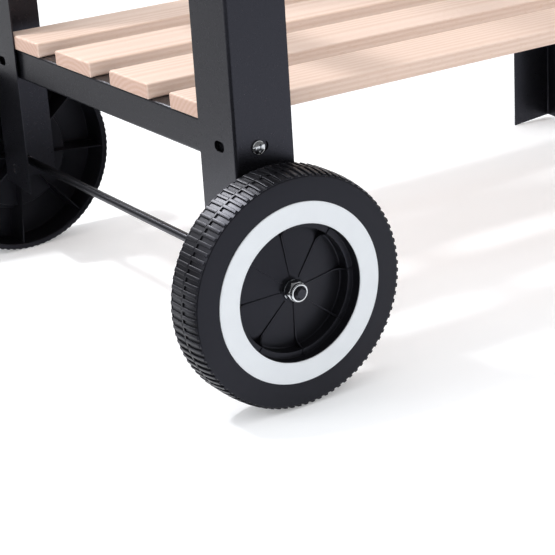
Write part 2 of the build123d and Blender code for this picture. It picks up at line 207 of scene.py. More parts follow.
def planed_beech(name, pith):
    material, tree, shader = new_finish(name, {"IOR": 1.45, "Specular IOR Level": 0.35})
    place = add_node(tree, "ShaderNodeTexCoord").outputs["Object"]
    about_pith = add_node(tree, "ShaderNodeVectorMath", {1: pith}, {0: place}, operation="SUBTRACT")
    trunk = add_node(tree, "ShaderNodeMapping", {"Scale": trunk_stretch},
                     {"Vector": about_pith.outputs["Vector"]})
    rings = add_node(tree, "ShaderNodeTexWave",
                     {"Scale": 1 / (growth_ring * wave_turns), "Distortion": 2.6, "Detail": 3.0,
                      "Detail Scale": 0.6, "Detail Roughness": 0.55},
                     {"Vector": trunk.outputs["Vector"]}, wave_type="RINGS", rings_direction="X")
    pore_scale = (1 / pore_length, 1 / pore_width, 1 / pore_width)
    pore_place = add_node(tree, "ShaderNodeMapping", {"Scale": pore_scale}, {"Vector": place})
    pores = add_node(tree, "ShaderNodeTexNoise", {"Scale": 1.0, "Detail": 2.0},
                     {"Vector": pore_place.outputs["Vector"]})
    fleck_scale = (1 / fleck_length, 1 / fleck_width, 1 / fleck_width)
    fleck_place = add_node(tree, "ShaderNodeMapping", {"Scale": fleck_scale}, {"Vector": place})
    flecks = add_node(tree, "ShaderNodeTexNoise", {"Scale": 1.0, "Detail": 0.0},
                      {"Vector": fleck_place.outputs["Vector"]})
    fleck_mask = add_node(tree, "ShaderNodeMapRange", {"From Min": 0.64, "From Max": 0.74, "To Max": 0.3},
                          {"Value": flecks.outputs["Fac"]})
    tone = add_node(tree, "ShaderNodeMix", {"A": linear("#f3ddd1"), "B": linear("#e9cfc0")},
                    {"Factor": rings.outputs["Fac"]}, data_type="RGBA")
    pored = add_node(tree, "ShaderNodeMix", {"B": linear("#f3ece5")},
                     {"Factor": pores.outputs["Fac"], "A": tone.outputs["Result"]},
                     data_type="RGBA", blend_type="MULTIPLY")
    flecked = add_node(tree, "ShaderNodeMix", {"B": linear("#d8b79c")},
                       {"Factor": fleck_mask.outputs["Result"], "A": pored.outputs["Result"]},
                       data_type="RGBA")
    normal = add_node(tree, "ShaderNodeNewGeometry").outputs["Normal"]
    facing = add_node(tree, "ShaderNodeSeparateXYZ", links={0: normal})
    end_grain = add_node(tree, "ShaderNodeMath", links={0: facing.outputs["X"]}, operation="ABSOLUTE")
    end_mask = add_node(tree, "ShaderNodeMapRange", {"From Min": 0.5, "To Max": 0.75},
                        {"Value": end_grain.outputs[0]})
    ended = add_node(tree, "ShaderNodeMix", {"B": linear("#baaba6")},
                     {"Factor": end_mask.outputs["Result"], "A": flecked.outputs["Result"]},
                     data_type="RGBA", blend_type="MULTIPLY")
    rough = add_node(tree, "ShaderNodeMapRange", {"To Min": 0.66, "To Max": 0.8},
                     {"Value": pores.outputs["Fac"]})
    bump = add_node(tree, "ShaderNodeBump", {"Strength": 0.2, "Distance": 0.08 * millimetre},
                    {"Height": pores.outputs["Fac"]})
    tree.links.new(ended.outputs["Result"], shader.inputs["Base Color"])
    tree.links.new(rough.outputs["Result"], shader.inputs["Roughness"])
    tree.links.new(bump.outputs["Normal"], shader.inputs["Normal"])
    return material


print("Beech with growth rings of", growth_ring / millimetre, "mm, pores of", pore_width / millimetre, "mm")

# %% [markdown]
# The bolts, nuts, screws and washers are steel with a bright zinc plate, a metal finish that mirrors the
# room. Its crystals leave the mirror slightly cloudy, so the roughness wanders over patches of 1.5 mm,
# with a faint change from bluish to plain grey.

# %% Bright zinc plate on steel
zinc_patch = 1.5 * millimetre


def bright_zinc_plate():
    material, tree, shader = new_finish("bright_zinc_plate_on_steel", {"Metallic": 1.0})
    place = add_node(tree, "ShaderNodeTexCoord").outputs["Object"]
    patches = add_node(tree, "ShaderNodeTexNoise", {"Scale": 1 / zinc_patch, "Detail": 3.0},
                       {"Vector": place})
    tone = add_node(tree, "ShaderNodeMix", {"A": linear("#c4c8cf"), "B": linear("#e2e3e4")},
                    {"Factor": patches.outputs["Fac"]}, data_type="RGBA")
    rough = add_node(tree, "ShaderNodeMapRange", {"To Min": 0.1, "To Max": 0.24},
                     {"Value": patches.outputs["Fac"]})
    tree.links.new(tone.outputs["Result"], shader.inputs["Base Color"])
    tree.links.new(rough.outputs["Result"], shader.inputs["Roughness"])
    return material


zinc_plate = bright_zinc_plate()
print("Made", zinc_plate.name)

# %% [markdown]
# The wheels are moulded in one black plastic, polypropylene. The steel mould was spark eroded, which
# gives the plastic a fine matt skin, drawn here at 0.5 mm. The plastic mirrors less than paint does, so
# its specular level is low. Faint cloudy patches, where the melt cooled at different speeds, keep large
# faces from looking flat.

# %% Moulded black polypropylene
mould_grain = 0.5 * millimetre
melt_patch = 18 * millimetre
grain_share = 0.4


def moulded_plastic(name, colours, roughness, specular, tint):
    material, tree, shader = new_finish(
        name, {"IOR": 1.49, "Specular IOR Level": specular, "Specular Tint": tint})
    place = add_node(tree, "ShaderNodeTexCoord").outputs["Object"]
    grain = add_node(tree, "ShaderNodeTexNoise", {"Scale": 1 / mould_grain, "Detail": 2.0}, {"Vector": place})
    melt = add_node(tree, "ShaderNodeTexNoise", {"Scale": 1 / melt_patch, "Detail": 2.0}, {"Vector": place})
    mixed = add_node(tree, "ShaderNodeMath", {1: grain_share}, {0: grain.outputs["Fac"]},
                     operation="MULTIPLY")
    both = add_node(tree, "ShaderNodeMath", links={0: melt.outputs["Fac"], 1: mixed.outputs[0]},
                    operation="ADD")
    tone = add_node(tree, "ShaderNodeMix", {"A": linear(colours[0]), "B": linear(colours[1])},
                    {"Factor": both.outputs[0]}, data_type="RGBA")
    rough = add_node(tree, "ShaderNodeMapRange", {"To Min": roughness[0], "To Max": roughness[1]},
                     {"Value": both.outputs[0]})
    bump = add_node(tree, "ShaderNodeBump", {"Strength": 0.15, "Distance": 0.03 * millimetre},
                    {"Height": grain.outputs["Fac"]})
    tree.links.new(tone.outputs["Result"], shader.inputs["Base Color"])
    tree.links.new(rough.outputs["Result"], shader.inputs["Roughness"])
    tree.links.new(bump.outputs["Normal"], shader.inputs["Normal"])
    return material


wheel_plastic = moulded_plastic(
    "moulded_black_polypropylene", ("#0b0b0d", "#141417"), (0.26, 0.36), 0.3, cool_black)
print("Made", wheel_plastic.name, "with a grain of", mould_grain / millimetre, "mm")

# %% [markdown]
# Two more plastics are moulded in the same way, so they share that function: the cool white ABS of the
# rings, smoother and a little glossier, and the black nylon of the lock nuts' inserts.

# %% White ABS and black nylon
ring_plastic = moulded_plastic(
    "moulded_white_abs", ("#dbdfe4", "#e2e6ea"), (0.3, 0.4), 0.5, linear("#ffffff"))
insert_nylon = moulded_plastic("moulded_black_nylon", ("#0a0a0b", "#161617"), (0.35, 0.5), 0.4, cool_black)
print("Made", ring_plastic.name, "and", insert_nylon.name)

# %% [markdown]
# Most round pieces are turned: a profile of corners, given as radius and height, goes round the Z axis.
# Real edges are never knife sharp, so each corner has its own rounding. The corner is cut back by that
# length on both sides and a short quadratic curve takes its place, which is enough for a highlight to run
# along it.

# %% Helpers for turned pieces
rounding_steps = 4


def eased(corners):
    """Points along a path of (radius, height, rounding) corners, with a curve in place of each corner."""
    points = [Vector(corners[0][:2])]
    for before, corner, after in zip(corners, corners[1:], corners[2:]):
        here = Vector(corner[:2])
        towards = (Vector(before[:2]) - here).normalized() * corner[2]
        onwards = (Vector(after[:2]) - here).normalized() * corner[2]
        for step in range(rounding_steps + 1):
            t = step / rounding_steps
            points.append(here + towards * (1 - t) ** 2 + onwards * t ** 2)
    return points + [Vector(corners[-1][:2])]


def evenly_round(columns, first_angle=0.0):
    """Angles of evenly spaced columns round a full turn."""
    return [first_angle + 2 * pi * column / columns for column in range(columns)]


def ring_of(mesh, radii, height, angles):
    """One ring of vertices, with a radius for each angle."""
    return [mesh.verts.new((r * cos(a), r * sin(a), height)) for r, a in zip(radii, angles)]


def bridge(mesh, rings):
    """Closes the bands between neighbouring rings with quads."""
    for first, second in zip(rings, rings[1:]):
        for i, vertex in enumerate(first):
            mesh.faces.new((first[i - 1], vertex, second[i], second[i - 1]))


def turn(mesh, points, angles):
    """Turns the points of a profile round the Z axis and gives the rings back."""
    rings = [ring_of(mesh, [r] * len(angles), z, angles) for r, z in points]
    bridge(mesh, rings)
    return rings


def mesh_of(shape, name):
    """A mesh in metres, from a shape made in millimetres, with its faces turned outwards."""
    bmesh.ops.recalc_face_normals(shape, faces=shape.faces)
    bmesh.ops.scale(shape, vec=(millimetre,) * 3, verts=shape.verts)
    mesh = bpy.data.meshes.new(name)
    shape.to_mesh(mesh)
    shape.free()
    return mesh


print("Each rounded corner has", rounding_steps + 1, "points")

# %% [markdown]
# Two more helpers finish a piece. One joins or cuts two closed meshes with the Boolean modifier and keeps
# what it makes as a plain mesh, which needs no modifier any more. The other puts a piece into the scene:
# smooth shading that leaves sharp edges sharp, its finish, its place, and the body of the frame that it
# rides on.

# %% Helpers for finished pieces
smooth_degrees = 32


def combined(base, tool, operation):
    """The mesh that a Boolean modifier makes of two closed meshes."""
    pair = [bpy.data.objects.new(mesh.name, mesh) for mesh in (base, tool)]
    for piece in pair:
        bpy.context.scene.collection.objects.link(piece)
    change = pair[0].modifiers.new(operation, "BOOLEAN")
    change.operation = operation
    change.solver = "MANIFOLD"
    change.object = pair[1]
    bpy.context.view_layer.update()
    result = bpy.data.meshes.new_from_object(pair[0].evaluated_get(bpy.context.evaluated_depsgraph_get()))
    result.name = base.name
    for piece in pair:
        bpy.data.objects.remove(piece)
    return result


def show(name, mesh, matrix, material, body, node):
    """Puts a piece in place of a node of the frame, on its body and with its finish."""
    mesh.shade_smooth()
    mesh.set_sharp_from_angle(angle=radians(smooth_degrees))
    mesh.materials.clear()
    mesh.materials.append(material)
    piece = bpy.data.objects.new(name, mesh)
    bpy.context.scene.collection.objects.link(piece)
    piece.matrix_world = matrix
    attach(piece, body)
    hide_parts(node)
    print(name, "has", len(mesh.polygons), "faces")
    return piece


print("Edges of more than", smooth_degrees, "degrees stay sharp")

# %% [markdown]
# Everything on the axle is made with its axis on Z and its outer side up, and is then turned into place:
# Z points out of the rack on each side, Y points up. The places of the wheels are those of their joints.

# %% Places on the axle
sides = {"left": 1, "right": -1}
wheel_places = {joint["child"]: Vector(joint["pos_m"]) for joint in frame["joints"]}
axle_place = Vector((wheel_places["right_wheel"].x, 0, wheel_places["right_wheel"].z))


def outwards(side, reach):
    """The matrix of a piece on the axle, this far from the middle of the rack."""
    turned_out = Matrix(((-side, 0, 0), (0, 0, side), (0, 1, 0)))
    return Matrix.Translation(axle_place + Vector((0, side * reach, 0))) @ turned_out.to_4x4()


print("The axle is at", axle_place[:])

# %% [markdown]
# The tread has straight bars right across the wheel, joined by a low rib where the halves of the mould
# met. Its outer half falls away into a round shoulder; on the inner half the bars are level, and the
# grooves between them run out at the edge. Separate boxes would leave seams, so the tread is a height
# field instead: rings of vertices that rise and fall over the bars. Every column belongs to one point of
# a bar's section, which has a steep wall and a rounded edge on each side.

# %% Tread of the wheels, as a height field in millimetres
wheel_radius = 100.0
tread_half_width = 17.5
tread_shoulder = 2.0
tread_depth = 1.5
bars_round = 91
bar_share = 0.46
bar_rounding = 0.45
bar_draft = 0.05
bar_end = 17.0
bar_end_rounding = 0.4
groove_end = 16.0
groove_runout_rise = 1.0
tread_rib = (-0.9, 0.9)
tread_rib_drop = 0.3
rib_draft = 0.1
shoulder_step = 3.0
bar_pitch = 2 * pi * wheel_radius / bars_round
straight_down = -pi / 2


def bar_section():
    """Columns of one bar: place along the tread from the bar's middle, and drop below its top."""
    half_bar = bar_pitch * bar_share / 2
    turns = [step * pi / 6 for step in range(4)]
    flank = [(half_bar - bar_rounding + bar_rounding * sin(t), bar_rounding * (1 - cos(t))) for t in turns]
    flank.append((half_bar + bar_draft, tread_depth))
    return [(-place, drop) for place, drop in flank[::-1]] + flank


section = bar_section()
tread_angles = [straight_down + (bar * bar_pitch + place) / wheel_radius
                for bar in range(bars_round) for place, drop in section]


def shoulder_drop(reach):
    """How far the tops of the bars fall towards the outer side, at this distance from the middle."""
    return tread_shoulder * (max(reach, 0.0) / tread_half_width) ** 2


def groove_depth(reach):
    """Depth of the grooves, which run out at the inner side."""
    past = max(-reach - groove_end, 0.0) / (tread_half_width - groove_end)
    return tread_depth - groove_runout_rise * past


def tread_stations():
    """Rings from the outer side to the inner: reach, least and greatest drop of the surface there."""
    low, high = tread_rib
    outer = [bar_end - bar_end_rounding - shoulder_step * step for step in range(6)]
    plain = [(reach, 0.0, tread_depth) for reach in outer + [high + rib_draft, low - rib_draft, -groove_end]]
    rib = [(reach, tread_rib_drop, tread_rib_drop) for reach in tread_rib]
    turns = [step * pi / 8 for step in range(4)]
    ends = []
    for side in (-1, 1):
        for t in turns:
            reach = bar_end - bar_end_rounding * (1 - sin(t))
            ends.append((side * reach, bar_end_rounding * (1 - cos(t)), groove_depth(side * reach)))
        ends.append((side * bar_end, tread_depth, groove_depth(side * bar_end)))
    return sorted(set(plain + rib + ends), reverse=True)


def tread_rings(mesh):
    """The whole tread, from the outer side of the wheel to the inner one."""
    rings = []
    for reach, least, greatest in tread_stations():
        top = wheel_radius - shoulder_drop(reach)
        radii = [top - min(max(drop, least), greatest) for place, drop in section] * bars_round
        rings.append(ring_of(mesh, radii, reach, tread_angles))
    bridge(mesh, rings)
    return rings


print("The tread has", len(tread_angles), "columns in", len(tread_stations()), "rings")

# %% [markdown]
# The rest of the wheel is one turned profile: the flat side with the seat of the white ring, the stepped
# hub dish, the bore, and the hollow back. It has fewer columns than the tread, one for every five, so the
# last ring on each side is joined to the tread by faces with eight corners.

# %% Body of the wheels
columns_per_side = len(section) // 2
body_angles = tread_angles[::columns_per_side]
bore_radius = 5.06
hub_radius = 12.0
hub_front = 4.6
hub_back = -25.9
dish_floor_radius = 52.5
dish_floor_reach = -1.5
ledge_reach = 9.0
mouth_radius = 57.7
ring_seat = 17.8
ring_seat_radius = 77.0
side_wall = 2.5
band_inside = 94.0
edge_rounding = 0.9


def groove_radius(reach):
    """Radius of the grooves' floor at this distance from the middle of the tread."""
    return wheel_radius - shoulder_drop(reach) - groove_depth(reach)


body_corners = [
    (groove_radius(bar_end), bar_end, 0),
    (groove_radius(tread_half_width), tread_half_width, edge_rounding),
    (ring_seat_radius, ring_seat, 0.6),
    (mouth_radius, ring_seat, 0.7),
    (mouth_radius, ledge_reach, 0.6),
    (dish_floor_radius, ledge_reach, 0.5),
    (dish_floor_radius, dish_floor_reach, 1.6),
    (hub_radius, hub_front, 1.0),
    (bore_radius, hub_front, 0.4),
    (bore_radius, hub_back, 0.4),
    (hub_radius, hub_back, 0.8),
    (hub_radius, hub_front - side_wall, 1.5),
    (dish_floor_radius + side_wall, dish_floor_reach - side_wall, 1.0),
    (dish_floor_radius + side_wall, ledge_reach - side_wall, 0.8),
    (mouth_radius + side_wall, ledge_reach - side_wall, 0.8),
    (mouth_radius + side_wall, ring_seat - side_wall, 0.8),
    (ring_seat_radius, ring_seat - side_wall, 0.5),
    (band_inside, tread_half_width - side_wall, 1.2),
    (band_inside, -tread_half_width, 0.8),
    (groove_radius(-tread_half_width), -tread_half_width, edge_rounding),
    (groove_radius(-bar_end), -bar_end, 0),
]


def join_to_tread(mesh, body_ring, tread_ring):
    """Faces between a ring of the body and the finer ring of the tread beside it."""
    for i in range(len(body_ring)):
        following = (i + 1) % len(body_ring)
        first = i * columns_per_side
        fine = [tread_ring[(first + step) % len(tread_ring)] for step in range(columns_per_side + 1)]
        mesh.faces.new([body_ring[following], body_ring[i]] + fine)


def wheel_body():
    shape = bmesh.new()
    tread = tread_rings(shape)
    body = turn(shape, eased(body_corners)[1:-1], body_angles)
    join_to_tread(shape, body[0], tread[0])
    join_to_tread(shape, body[-1], tread[-1])
    return mesh_of(shape, "wheel_body")


print("The body has", len(body_corners), "corners, turned round in", len(body_angles), "columns")

# %% [markdown]
# Eight thin ribs stiffen the wheel. Each is one plate that shows on both sides: a fine line over the hub
# dish, which sweeps up into a gusset at the dish's wall, and a deep fin in the hollow back. The plates
# are cut through by the body, so a Boolean union turns body and ribs into one closed skin, as one shot of
# plastic is.

# %% Ribs, and the two wheels
rib_count = 8
rib_phase = radians(5)
rib_thickness = 1.3
rib_bevel = 0.3
rib_line = 0.8
gusset_radius = 43.5
gusset_pull = (-1.5, 1.0)
rib_back = -15.3
rib_foot_radius = 24.0
gusset_steps = 6


def dish_floor(radius):
    """Height of the dish's cone at this radius."""
    rise = (hub_front - dish_floor_reach) / (dish_floor_radius - hub_radius)
    return dish_floor_reach + rise * (dish_floor_radius - radius)


def rib_outline():
    """Outline of a rib, as radius and height, with a concave curve for its gusset."""
    start = Vector((gusset_radius, dish_floor(gusset_radius) + rib_line))
    end = Vector((dish_floor_radius, ledge_reach + rib_line))
    corner = Vector((end.x, start.y)) + Vector(gusset_pull)
    steps = [step / gusset_steps for step in range(gusset_steps + 1)]
    gusset = [start * (1 - t) ** 2 + corner * 2 * t * (1 - t) + end * t ** 2 for t in steps]
    inside_wall = side_wall / 2
    hub = [Vector((hub_radius - inside_wall, hub_front)), Vector((hub_radius, hub_front + rib_line))]
    return hub + gusset + [
        Vector((mouth_radius + inside_wall, ledge_reach + rib_line)),
        Vector((mouth_radius + inside_wall, ring_seat - inside_wall)),
        Vector((ring_seat_radius, ring_seat - inside_wall)),
        Vector((band_inside + inside_wall, tread_half_width - inside_wall)),
        Vector((band_inside + inside_wall, rib_back)),
        Vector((rib_foot_radius, rib_back)),
        Vector((hub_radius - inside_wall, (rib_back + hub_back) / 2)),
    ]


def wheel_ribs():
    shape = bmesh.new()
    outline = rib_outline()
    for number in range(rib_count):
        about = Matrix.Rotation(rib_phase + number * 2 * pi / rib_count, 3, "Z")
        flanks = [[shape.verts.new(about @ Vector((r, side * rib_thickness / 2, z))) for r, z in outline]
                  for side in (-1, 1)]
        faces = [shape.faces.new(flank) for flank in flanks]
        bridge(shape, flanks)
        rims = [edge for face in faces for edge in face.edges]
        bmesh.ops.bevel(shape, geom=rims, offset=rib_bevel, segments=2, profile=0.5, affect="EDGES")
    return mesh_of(shape, "wheel_ribs")


wheel_mesh = combined(wheel_body(), wheel_ribs(), "UNION")
for side_name, side in sides.items():
    body_name = side_name + "_wheel"
    reach = abs(wheel_places[body_name].y)
    show("moulded_wheel_" + side_name, wheel_mesh, outwards(side, reach), wheel_plastic, body_name,
         "wheel_" + side_name)

# %% [markdown]
# A white ring lies on the side of each wheel. It is a flat moulding with a narrow raised lip along both
# edges, which draws a fine bright line round it, so it is turned from a profile with the lips in it.

# %% White rings
ring_inner_radius = 58.2
ring_outer_radius = 76.3
ring_thickness = 1.2
ring_columns = 240
lip_width = 1.1
lip_height = 0.25


def white_ring():
    shape = bmesh.new()
    top = ring_seat + ring_thickness
    low = top - lip_height
    middle = (ring_inner_radius + ring_outer_radius) / 2
    corners = [
        (middle, ring_seat, 0),
        (ring_inner_radius, ring_seat, 0.1), (ring_inner_radius, top, 0.4),
        (ring_inner_radius + lip_width, top, 0.4), (ring_inner_radius + lip_width + lip_height, low, 0.2),
        (ring_outer_radius - lip_width - lip_height, low, 0.2), (ring_outer_radius - lip_width, top, 0.4),
        (ring_outer_radius, top, 0.4), (ring_outer_radius, ring_seat, 0.1),
        (middle, ring_seat, 0),
    ]
    rings = turn(shape, eased(corners)[:-1], evenly_round(ring_columns))
    bridge(shape, [rings[-1], rings[0]])
    return mesh_of(shape, "white_ring")


ring_mesh = white_ring()
for side_name, side in sides.items():
    reach = abs(wheel_places[side_name + "_wheel"].y)
    show("white_ring_" + side_name, ring_mesh, outwards(side, reach), ring_plastic, side_name + "_wheel",
         "wheel_ring_" + side_name)

# %% [markdown]
# Threads show on the axle's ends and the bolts' tips. A screw thread is a height field as well: the
# radius at an angle and a height depends on how far the helix has climbed there. Six rings for each turn
# are enough.

# %% Threads
rings_per_thread = 6
flank_steepness = 1.25
thread_runout = 0.3


def threaded(mesh, radius, pitch, depth, bottom, top, angles):
    """Rings of a thread between two heights: crests at the radius and roots below it."""
    count = round((top - bottom) / pitch * rings_per_thread)
    rings = []
    for number in range(count + 1):
        height = bottom + (top - bottom) * number / count
        climbs = [(height / pitch - angle / (2 * pi)) % 1 for angle in angles]
        radii = [radius - depth * min(1.0, flank_steepness * abs(2 * climb - 1)) for climb in climbs]
        rings.append(ring_of(mesh, radii, height, angles))
    return rings


print("A thread has", rings_per_thread, "rings to a turn")

# %% [markdown]
# The axle is one rod: a slim shank between the posts, thicker ends that carry the wheels, and a thread at
# each tip for the lock nut. Rings of plain circles and of thread share the same columns, so they bridge
# in one run.

# %% Axle
axle_low, axle_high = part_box("axle")
axle_half_length = axle_high.y / millimetre
axle_end_radius = (axle_high.x - axle_low.x) / 2 / millimetre
shank_radius = 4.1
shank_half_length = 222.0
thread_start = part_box("outer_washers")[1].y / millimetre - 1.0
axle_thread_pitch = 1.5
axle_thread_depth = 0.8
tip_chamfer = 1.0
tip_inset = 0.3
axle_columns = 48


def axle_rod():
    shape = bmesh.new()
    angles = evenly_round(axle_columns)
    tip = axle_half_length - tip_chamfer

    def plain(radius, height):
        return ring_of(shape, [radius] * axle_columns, height, angles)

    def thread(bottom, top):
        return threaded(shape, axle_end_radius, axle_thread_pitch, axle_thread_depth, bottom, top, angles)

    tip_radius = axle_end_radius - axle_thread_depth - tip_inset
    smooth_end = thread_start - thread_runout
    step = axle_end_radius - shank_radius
    rings = [plain(tip_radius, -axle_half_length)] + thread(-tip, -thread_start)
    rings += [plain(axle_end_radius, -smooth_end), plain(axle_end_radius, -shank_half_length - step)]
    rings += [plain(shank_radius, -shank_half_length), plain(shank_radius, shank_half_length)]
    rings += [plain(axle_end_radius, shank_half_length + step), plain(axle_end_radius, smooth_end)]
    rings += thread(thread_start, tip) + [plain(tip_radius, axle_half_length)]
    bridge(shape, rings)
    shape.faces.new(rings[0])
    shape.faces.new(rings[-1])
    return mesh_of(shape, "axle_rod")


show("axle_rod", axle_rod(), outwards(1, 0), axle_paint, "rack", "axle")

# %% [markdown]
# A lock nut is a hexagon whose corners are cut by a shallow cone at both ends, with a round collar rolled
# over the insert. Where the cone meets a flat it leaves the curved edge that makes a nut look like a nut.
# Along each column that edge lies where the cone's radius equals the hexagon's, so four rings give the
# exact shape.

# %% Lock nuts
nut_across_flats = 17.0
nut_hex_height = 7.4
nut_height = 10.0
nut_columns = 96
nut_cone = tan(radians(40))
nut_face_inset = 0.3
collar_radius = 8.0
insert_radius = 6.2
insert_depth = 2.0
thread_bore = 5.05


def lock_nut():
    shape = bmesh.new()
    angles = evenly_round(nut_columns)
    flat = nut_across_flats / 2
    hexagon = [flat / cos(angle % (pi / 3) - pi / 6) for angle in angles]
    face_radius = flat - nut_face_inset
    insert_seat = nut_height - insert_depth
    drops = [(radius - face_radius) / nut_cone for radius in hexagon]

    def plain(radius, height):
        return ring_of(shape, [radius] * nut_columns, height, angles)

    def cut(end, direction):
        return [shape.verts.new((r * cos(a), r * sin(a), end + direction * drop))
                for r, a, drop in zip(hexagon, angles, drops)]

    rings = [plain(thread_bore, 0), plain(face_radius, 0), cut(0, 1), cut(nut_hex_height, -1)]
    rings.append(plain(face_radius, nut_hex_height))
    collar = eased([(face_radius, nut_hex_height, 0), (collar_radius, nut_hex_height, 0.2),
                    (collar_radius, nut_height, 1.3), (insert_radius, nut_height, 0.3),
                    (insert_radius, insert_seat, 0.1), (thread_bore, insert_seat, 0)])
    rings += [plain(r, z) for r, z in collar[1:]]
    bridge(shape, rings + rings[:1])
    return mesh_of(shape, "lock_nut")


def repeated(mesh, matrices, name):
    """One mesh with a copy of a small mesh at each place."""
    shape = bmesh.new()
    for matrix in matrices:
        first = len(shape.verts)
        shape.from_mesh(mesh)
        shape.verts.ensure_lookup_table()
        bmesh.ops.transform(shape, matrix=matrix, verts=shape.verts[first:])
    result = bpy.data.meshes.new(name)
    shape.to_mesh(result)
    shape.free()
    return result


nut_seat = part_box("outer_washers")[1].y
nuts_mesh = repeated(lock_nut(), [outwards(side, nut_seat) for side in sides.values()], "lock_nut_pair")
show("zinc_lock_nuts", nuts_mesh, Matrix.Identity(4), zinc_plate, "rack", "lock_nuts")

# %% [markdown]
# The rails are held by pan-head machine screws. The head is a low dome, turned, with a tapered cross
# pressed into it for the screwdriver: two wedges cut out of the dome by Boolean differences. Screws stop
# at any angle when they are tightened, so each of the twelve copies is turned a little further than the
# last.

# %% Rail bolts
bolt_columns = 48
head_radius = 6.0
head_height = 3.6
head_side = 1.1
head_edge = 0.15
bolt_radius = 3.0
bolt_length = 14.0
bolt_thread_pitch = 1.0
bolt_thread_depth = 0.55
bolt_tip_chamfer = 0.5
bolt_tip_inset = 0.4
cross_mouth = (7.4, 2.0)
cross_floor = (2.6, 1.1)
cross_depth = 2.6
cross_clearance = 0.2
bolt_setback = 21.6 * millimetre
rail_hole_drop = 15.5 * millimetre
first_turn = radians(14)
turn_between = radians(67)
dome_steps = 7
dome_start = 0.4


def bolt_blank():
    """Dome, side and underside of the head, the shank and its thread, before the cross is cut."""
    shape = bmesh.new()
    angles = evenly_round(bolt_columns)
    rise = head_height - head_side
    dome = [(head_radius * sin(pi / 2 * t), head_side + rise * cos(pi / 2 * t))
            for t in ((step + dome_start) / (dome_steps + dome_start) for step in range(dome_steps + 1))]
    underside = [(head_radius, head_edge), (head_radius - head_edge, 0), (bolt_radius, 0)]
    rings = turn(shape, dome + underside, angles)
    smooth_end = -bolt_length / 2
    thread = threaded(shape, bolt_radius, bolt_thread_pitch, bolt_thread_depth, smooth_end - thread_runout,
                      bolt_tip_chamfer - bolt_length, angles)
    neck = ring_of(shape, [bolt_radius] * bolt_columns, smooth_end, angles)
    tip_radius = bolt_radius - bolt_thread_depth - bolt_tip_inset
    tip = ring_of(shape, [tip_radius] * bolt_columns, -bolt_length, angles)
    bridge(shape, [rings[-1], neck] + thread + [tip])
    shape.faces.new(rings[0])
    shape.faces.new(tip)
    return mesh_of(shape, "rail_bolt")


def cross_wing(along_x):
    """One wedge of the cross, wide at its mouth above the dome and narrow at its floor."""
    shape = bmesh.new()
    levels = []
    mouth_and_floor = (cross_mouth, head_height + cross_clearance), (cross_floor, head_height - cross_depth)
    for (length, width), height in mouth_and_floor:
        size = (length / 2, width / 2) if along_x else (width / 2, length / 2)
        levels.append([shape.verts.new((x * size[0], y * size[1], height))
                       for x, y in ((-1, -1), (1, -1), (1, 1), (-1, 1))])
    bridge(shape, levels)
    for level_corners in levels:
        shape.faces.new(level_corners)
    return mesh_of(shape, "cross_wing")


def bolt_matrices():
    """Places of the bolts: on every post, at each rail, with the heads on the outer faces."""
    places = []
    for end in ("wheel", "foot"):
        for rail in ("deck_rail", "middle_rail", "top_rail"):
            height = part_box(rail + "_wheel_end")[1].z - rail_hole_drop
            for side_name, side in sides.items():
                low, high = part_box(end + "_post_" + side_name)
                x = low.x + bolt_setback if end == "wheel" else high.x - bolt_setback
                y = high.y if side > 0 else low.y
                spin = Matrix.Rotation(first_turn + turn_between * len(places), 4, "Z")
                facing = Matrix.Rotation(-side * pi / 2, 4, "X")
                places.append(Matrix.Translation((x, y, height)) @ facing @ spin)
    return places


bolt_mesh = bolt_blank()
for along_x in (True, False):
    bolt_mesh = combined(bolt_mesh, cross_wing(along_x), "DIFFERENCE")
bolts_mesh = repeated(bolt_mesh, bolt_matrices(), "rail_bolt_set")
show("zinc_rail_bolts", bolts_mesh, Matrix.Identity(4), zinc_plate, "rack", "rail_bolts")

# %% [markdown]
# The nodes that keep their CAD shape get their finishes by slot. Slats are the exception: each has a
# beech of its own, whose pith lies below the slat and to one side, a little further for each slat.

# %% Finishes of the frame's own pieces
slot_of = {row["node"]: row["material_slot"] for row in frame["record"]["subparts"]}
finishes = {"powder_coat": powder_coat, "axle_paint": axle_paint, "zinc_plate": zinc_plate,
            "nylon": insert_nylon, "wheel_moulding": wheel_plastic, "ring_white": ring_plastic}
pith_depth = 55 * millimetre
pith_step = 23 * millimetre
pith_shift = 100 * millimetre
first_pith = -2


def dress(node_name, material):
    """Gives a node of the frame one finish, over all of its faces."""
    mesh = frame["nodes"][node_name].data
    mesh.materials.clear()
    mesh.materials.append(material)
    for polygon in mesh.polygons:
        polygon.material_index = 0


slat_names = sorted(node for node, slot_name in slot_of.items() if slot_name == "slat_wood")
for number, slat_name in enumerate(slat_names):
    low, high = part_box(slat_name)
    middle = (low + high) / 2
    aside = (number + first_pith) * pith_step
    pith = Vector((low.x + number * pith_shift, middle.y + aside, middle.z - pith_depth))
    dress(slat_name, planed_beech("planed_beech_" + slat_name, pith))
for node_name, slot_name in slot_of.items():
    if slot_name in finishes:
        dress(node_name, finishes[slot_name])
print("Dressed", len(slot_of), "nodes,", len(slat_names), "of them slats")

# %% [markdown]
# The floor is a sheet of matt white paper that runs out of the picture. For the camera and for mirrors it
# glows a little, so that it is as white as the room behind it, while the light that falls on it keeps the
# shadows.

# %% Floor
floor_half_size = 6.0
floor_glow = 0.22


def seen_directly(tree):
    """One for rays from the camera, from a mirror or through glass, and zero for light that bounces."""
    path = add_node(tree, "ShaderNodeLightPath").outputs
    shiny = add_node(tree, "ShaderNodeMath", operation="MAXIMUM",
                     links={0: path["Is Glossy Ray"], 1: path["Is Transmission Ray"]})
    either = add_node(tree, "ShaderNodeMath", operation="MAXIMUM",
                      links={0: path["Is Camera Ray"], 1: shiny.outputs[0]})
    return either.outputs[0]


